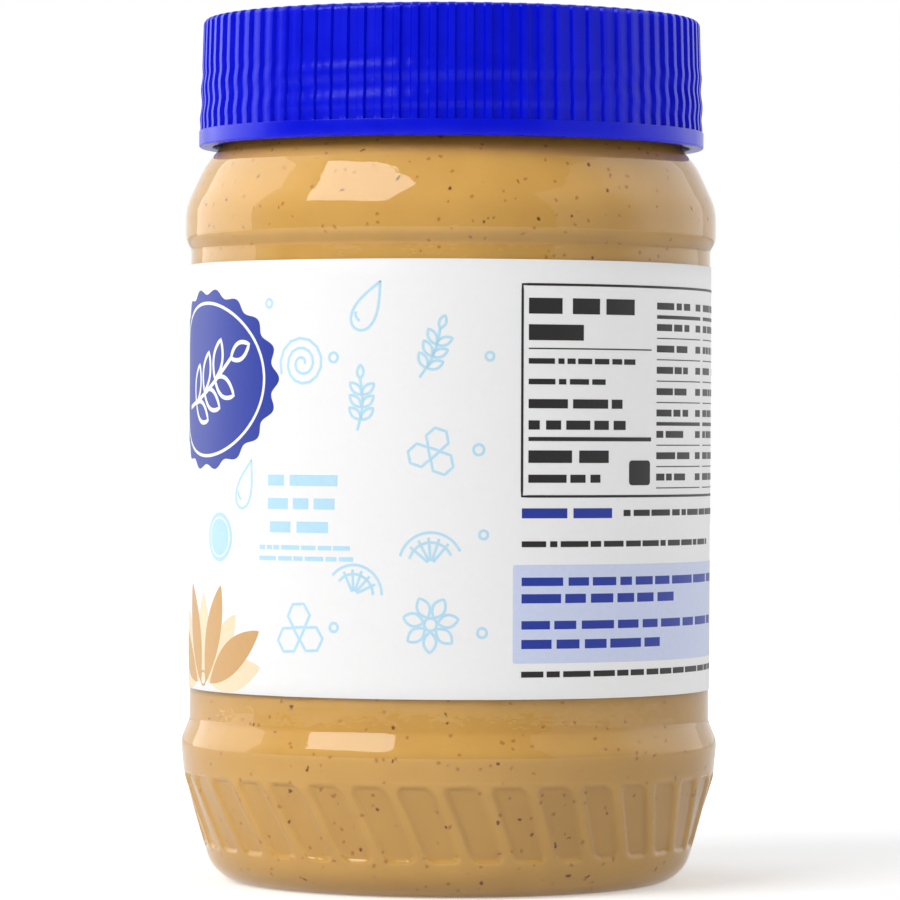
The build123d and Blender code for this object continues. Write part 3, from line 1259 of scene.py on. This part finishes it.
@dataclass
class LabelArt:
    """What is printed on the label: scattered line drawings, a badge, a framed table of bars and a
    tinted note."""

    press: Press
    stroke: float = 0.36
    seed: int = 11

    def scatter(self) -> None:
        """The drawings, in staggered columns round the label, each with its own size and lean."""
        random = np.random.default_rng(self.seed)
        kinds = list(Motif)
        large = (-31.5, -22.0, -12.0, -2.0, 72.0, 82.0, 92.0, 102.0, -106.0, -96.0, -86.0)
        columns = (*large, -16.9, -27.2, 4.6)
        for index, across in enumerate(columns):
            small = index >= len(large)
            rows = (9.0, 21.5, 34.0, 46.5) if index % 2 else (15.0, 28.0, 41.0, 53.0)
            for row, up in enumerate(rows):
                place = np.array([across + random.uniform(-0.8, 0.8), up + random.uniform(-1.2, 1.2)])
                size = random.uniform(2.2, 2.9) if small else random.uniform(7.2, 8.6)
                lean = random.uniform(-0.5, 0.5)
                if self.taken(place):
                    continue
                if small:
                    self.press.line(Ink.SKY, circle(tuple(place), size / 4, 18), self.stroke, True)
                    continue
                for points, closed in motif_strokes(kinds[(index * 3 + row * 5) % len(kinds)]):
                    self.press.line(Ink.SKY, spun(points * size, lean) + place, self.stroke, closed)

    def taken(self, place: np.ndarray) -> bool:
        """Whether that place is under the badge, the picture or the lines of bars.

        Args:
            place: A place on the label.

        Returns:
            True where a drawing would cover something else.
        """
        under_badge = ((place[0] + 43) / 20) ** 2 + ((place[1] - 43.5) / 16) ** 2 < 1
        under_picture = place[0] < -24 and place[0] > -70 and place[1] < 18
        under_bars = -30 < place[0] < -11 and 17 < place[1] < 35
        under_disc = (place[0] + 38.6) ** 2 + (place[1] - 21.6) ** 2 < 60
        return bool(under_badge or under_picture or under_bars or under_disc)

    def badge(self, across: float = -43.0, up: float = 43.5, reach: float = 17.0) -> None:
        """A deep blue badge with a scalloped edge, radius = reach (1 + 0.035 cos 18 a), and a white leaf
        in it.

        Args:
            across: Its middle's distance round from the front.
            up: Its middle's height on the label.
            reach: Half its width.
        """
        angle = np.linspace(0, TURN, 216, endpoint=False)
        edge = reach * (1 + 0.035 * np.cos(18 * angle))
        outline = np.stack([across + edge * np.cos(angle), up + 0.72 * edge * np.sin(angle)], axis=1)
        self.press.area(Ink.ROYAL, outline)
        self.press.line(Ink.WHITE, circle((across, up), reach * 0.87, 120, 0.72), 0.45, True)
        for points, closed in motif_strokes(Motif.SPRIG):
            self.press.line(Ink.WHITE, spun(points * 19, -1.15) + np.array([across, up]), 0.6, closed)
        self.press.area(Ink.SKY, circle((-38.6, 21.6), 3.4, 48))
        self.press.line(Ink.WHITE, circle((-38.6, 21.6), 2.7, 40), 0.22, True)

    def picture(self) -> None:
        """A fan of cream and tan leaves at the foot of the main side."""
        for index, turn in enumerate(np.radians(np.linspace(12, 168, 9))):
            ink = Ink.TAN if index % 2 else Ink.CREAM
            length = 14.5 if index % 2 else 12.5
            self.press.area(ink, leaf((-44.0 + 3 * math.cos(turn), 1.2), turn, length, 4.6, 64))
        self.press.line(Ink.TAN, circle((-44.0, 1.8), 1.0, 24), 0.3, True)

    def table(self, left: float = 9.9, width: float = 49.0, foot: float = 27.6, height: float = 28.8) -> None:
        """A framed table of bars and rules, with a heavy heading at its top.

        Args:
            left: Its left side.
            width: Its width.
            foot: Its lower side.
            height: Its height.
        """
        random = np.random.default_rng(self.seed + 1)
        press, right, top = self.press, left + width, foot + height
        corners = np.array([(left, foot), (right, foot), (right, top), (left, top), (left, foot)])
        frame = split(corners, 0.9)[:-1]
        press.line(Ink.BLACK, frame, 0.34, True)
        inner = left + 0.9
        middle = left + 22.6
        for up, length in ((top - 2.9, 17.0), (top - 6.5, 8.2)):
            press.words(Ink.BLACK, inner, inner + length, up, 2.15, random)
        press.rule(Ink.BLACK, inner, middle - 1.2, top - 8.7, 0.18)
        for up, length in ((top - 10.4, 17.2), (top - 13.2, 12.0)):
            press.words(Ink.BLACK, inner, inner + length, up, 0.75, random)
        for up, length in ((top - 16.2, 14.8), (top - 19.1, 15.4)):
            press.words(Ink.BLACK, inner, inner + length, up, 1.25, random)
        press.rule(Ink.BLACK, inner, middle - 1.2, top - 21.0, 0.55)
        press.words(Ink.BLACK, inner, inner + 12.4, top - 23.4, 1.7, random)
        press.words(Ink.BLACK, inner, inner + 11.0, top - 26.4, 1.1, random)
        press.box(Ink.BLACK, middle - 5.6, top - 27.3, 4.2, 3.4, 0.5)
        columns = ((middle, middle + 13.2), (middle + 14.6, right - 0.9))
        for start, end in columns:
            for row in range(9):
                up = top - 2.6 - row * 2.95
                reach = start + (end - start) * random.uniform(0.55, 0.72)
                press.words(Ink.BLACK, start, reach, up, 0.95, random)
                press.rule(Ink.BLACK, end - 2.0, end, up, 0.95)
                press.rule(Ink.BLACK, start, end, up - 1.5, 0.5 if row in (0, 5) else 0.14)

    def notes(self, left: float = 9.9, right: float = 58.9) -> None:
        """The lines of bars under the table, the tinted note and the lines beside the drawings.

        Args:
            left: Where the lines start.
            right: Where they end.
        """
        random = np.random.default_rng(self.seed + 2)
        press = self.press
        press.words(Ink.ROYAL, left, left + 14.8, 25.3, 1.35, random)
        press.words(Ink.BLACK, left + 16.0, right, 25.3, 0.85, random)
        press.words(Ink.BLACK, left, right - 9.0, 21.1, 0.8, random)
        press.box(Ink.MIST, left - 1.2, 4.9, right - left + 2.4, 13.4, 0.3)
        for up, share, bar in ((16.0, 0.92, 1.15), (13.7, 0.55, 1.25), (10.1, 0.88, 1.15), (7.5, 0.48, 1.25)):
            press.words(Ink.ROYAL, left, left + (right - left) * share, up, bar, random)
        press.words(Ink.BLACK, left, right - 4.0, 3.4, 0.8, random)
        for up, start, end in ((29.6, -27.4, -15.2), (26.4, -27.4, -16.2), (23.2, -27.0, -17.2)):
            press.words(Ink.SKY, start, end, up, 1.5, random)
        for up in (20.4, 18.9):
            press.words(Ink.SKY, -29.0, -13.4, up, 0.6, random)

    def stripes(self, left: float = 61.6, foot: float = 6.0) -> None:
        """A block of upright bars of uneven width, as on any packet.

        Args:
            left: Where the block starts.
            foot: Its lower side.
        """
        random = np.random.default_rng(self.seed + 3)
        place = left
        while place < left + 7.6:
            width = float(random.choice([0.16, 0.26, 0.36]))
            path = np.stack([np.full(14, place), np.linspace(foot, foot + 12.0, 14)], axis=1)
            self.press.line(Ink.BLACK, path, width)
            place += width + float(random.choice([0.2, 0.32, 0.44]))

    def build(self, mottle: bpy.types.NodeTree) -> list[bpy.types.Object]:
        """Prints everything and returns the ink pieces.

        Args:
            mottle: The shared mottle node group.

        Returns:
            The ink pieces.
        """
        self.scatter()
        self.badge()
        self.picture()
        self.table()
        self.notes()
        self.stripes()
        return self.press.build(mottle)


# The studio


@dataclass
class Studio:
    """A white floor and surround, soft lamps and the camera."""

    distance: float = 0.746
    eye_height: float = 0.0634
    aim_height: float = 0.06125
    lens: float = 209.4
    roll: float = math.radians(0.25)
    ambient: float = 0.34

    def floor(self) -> None:
        """A wide white floor that stays white to the eye and keeps the jar's soft shadow."""
        span = 3.0
        mesh = bpy.data.meshes.new("floor")
        corners = [(-span, -span, 0), (span, -span, 0), (span, span, 0), (-span, span, 0)]
        mesh.from_pydata(corners, [], [(0, 1, 2, 3)])
        material, tree, shader = Finish("floor_paint", (0.9, 0.9, 0.9), 0.9, specular=0.0).start()
        path = tree.nodes.new("ShaderNodeLightPath")
        place = tree.nodes.new("ShaderNodeTexCoord")
        away = node(tree, "ShaderNodeVectorMath", operation="LENGTH")
        glow = node(tree, "ShaderNodeMapRange", interpolation_type="SMOOTHSTEP")
        for name, value in (("From Min", 0.06), ("From Max", 0.35), ("To Min", 0.40), ("To Max", 1.0)):
            glow.inputs[name].default_value = value
        tree.links.new(place.outputs["Object"], away.inputs[0])
        tree.links.new(away.outputs["Value"], glow.inputs["Value"])
        seen = node(tree, "ShaderNodeMath", operation="MULTIPLY")
        tree.links.new(glow.outputs[0], seen.inputs[1])
        shader.inputs["Emission Color"].default_value = (1, 1, 1, 1)
        tree.links.new(path.outputs["Is Camera Ray"], seen.inputs[0])
        lit = node(tree, "ShaderNodeMath", operation="MAXIMUM")
        lit.inputs[1].default_value = 0.26
        tree.links.new(seen.outputs[0], lit.inputs[0])
        tree.links.new(lit.outputs[0], shader.inputs["Emission Strength"])
        mesh.materials.append(material)
        floor = bpy.data.objects.new("floor", mesh)
        bpy.context.scene.collection.objects.link(floor)

    def surround(self) -> None:
        """The world: white where it is seen or mirrored, dimmer in front of the jar, and an even soft
        light."""
        world = bpy.data.worlds.new("studio_surround")
        bpy.context.scene.world = world
        world.use_nodes = True
        tree = world.node_tree
        tree.nodes.clear()
        path = tree.nodes.new("ShaderNodeLightPath")
        seen = node(tree, "ShaderNodeMath", operation="MAXIMUM")
        tree.links.new(path.outputs["Is Camera Ray"], seen.inputs[0])
        tree.links.new(path.outputs["Is Transmission Ray"], seen.inputs[1])
        place = tree.nodes.new("ShaderNodeTexCoord")
        apart = tree.nodes.new("ShaderNodeSeparateXYZ")
        tree.links.new(place.outputs["Generated"], apart.inputs[0])
        behind = node(tree, "ShaderNodeMapRange", interpolation_type="SMOOTHSTEP")
        for name, value in (("From Min", -0.25), ("From Max", 0.15), ("To Min", 0.12), ("To Max", 1.0)):
            behind.inputs[name].default_value = value
        tree.links.new(apart.outputs["Y"], behind.inputs["Value"])
        mirrored = node(tree, "ShaderNodeMix", data_type="FLOAT")
        tree.links.new(path.outputs["Is Glossy Ray"], mirrored.inputs[0])
        mirrored.inputs[2].default_value = self.ambient
        tree.links.new(behind.outputs[0], mirrored.inputs[3])
        level = node(tree, "ShaderNodeMix", data_type="FLOAT")
        tree.links.new(seen.outputs[0], level.inputs[0])
        tree.links.new(mirrored.outputs[0], level.inputs[2])
        level.inputs[3].default_value = 1.0
        light = node(tree, "ShaderNodeBackground", Color=(1, 1, 1, 1))
        tree.links.new(level.outputs[0], light.inputs["Strength"])
        end = tree.nodes.new("ShaderNodeOutputWorld")
        tree.links.new(light.outputs[0], end.inputs["Surface"])

    def lamp(
        self,
        name: str,
        azimuth: float,
        elevation: float,
        away: float,
        size: tuple[float, float],
        radiance: float,
    ) -> None:
        """A soft box that faces the jar's middle.

        Args:
            name: The lamp's name.
            azimuth: Degrees from straight in front, towards +X.
            elevation: Degrees above the level of the jar's middle.
            away: Metres from the jar's axis.
            size: Its width and height in metres.
            radiance: How bright its face is, where 1 is white.
        """
        data = bpy.data.lights.new(name, "AREA")
        data.shape = "RECTANGLE"
        data.size, data.size_y = size
        data.energy = radiance * math.pi * size[0] * size[1]
        box = bpy.data.objects.new(name, data)
        turn, tilt = math.radians(azimuth), math.radians(elevation)
        middle = Vector((0, 0, self.aim_height))
        offset = Vector((math.sin(turn) * math.cos(tilt), -math.cos(turn) * math.cos(tilt), math.sin(tilt)))
        box.location = middle + offset * away
        box.rotation_euler = (-offset).to_track_quat("-Z", "Y").to_euler()
        box.visible_camera = False
        bpy.context.scene.collection.objects.link(box)

    def lamps(self) -> None:
        """The key box high on the left, a broad pale wall on the right and a soft strip far on the left."""
        self.lamp("key_box", -47.0, 37.0, 1.1, (0.72, 0.62), 5.0)
        self.lamp("right_wall", 92.0, 12.0, 1.0, (2.2, 1.5), 0.52)
        self.lamp("left_wall", -118.0, 12.0, 1.0, (0.9, 1.3), 1.1)

    def camera(self) -> None:
        """The camera, level with the jar's middle and turned a hair about its own line of sight."""
        data = bpy.data.cameras.new("camera")
        data.lens, data.sensor_width = self.lens, 36.0
        data.clip_start, data.clip_end = 0.05, 20.0
        camera = bpy.data.objects.new("camera", data)
        camera.location = (0, -self.distance, self.eye_height)
        sight = Vector((0, 0, self.aim_height)) - camera.location
        level = sight.to_track_quat("-Z", "Y").to_matrix()
        camera.rotation_euler = (level @ Matrix.Rotation(self.roll, 3, "Z")).to_euler()
        bpy.context.scene.collection.objects.link(camera)
        bpy.context.scene.camera = camera

    def build(self) -> None:
        """Sets up the whole studio."""
        bpy.context.scene.view_settings.view_transform = "Standard"
        self.floor()
        self.surround()
        self.lamps()
        self.camera()


def main() -> None:
    """Loads the frame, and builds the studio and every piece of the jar."""
    logging.basicConfig(level=logging.INFO, format="%(name)s: %(message)s")
    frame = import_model()
    LOG.info("loaded %d CAD nodes", len(frame["nodes"]))
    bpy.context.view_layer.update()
    Studio().build()
    mottle = mottle_group()
    outline = JarOutline.from_frame()
    flutes = Flutes(outline)
    jar = Jar(outline, flutes)
    fill_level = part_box("peanut_butter")[1][2] / MM
    label = Label.from_frame()
    pieces = [
        jar.build(clear_plastic(mottle)),
        Filling(outline, flutes, fill_level).build(jar, nut_spread(mottle)),
        Lid.from_frame().build(blue_plastic(mottle)),
        label.build(label_stock(mottle)),
        *LabelArt(Press(label)).build(mottle),
    ]
    for piece in pieces:
        LOG.info("%s: %d faces", piece.name, len(piece.data.polygons))


if __name__ == "__main__":
    main()
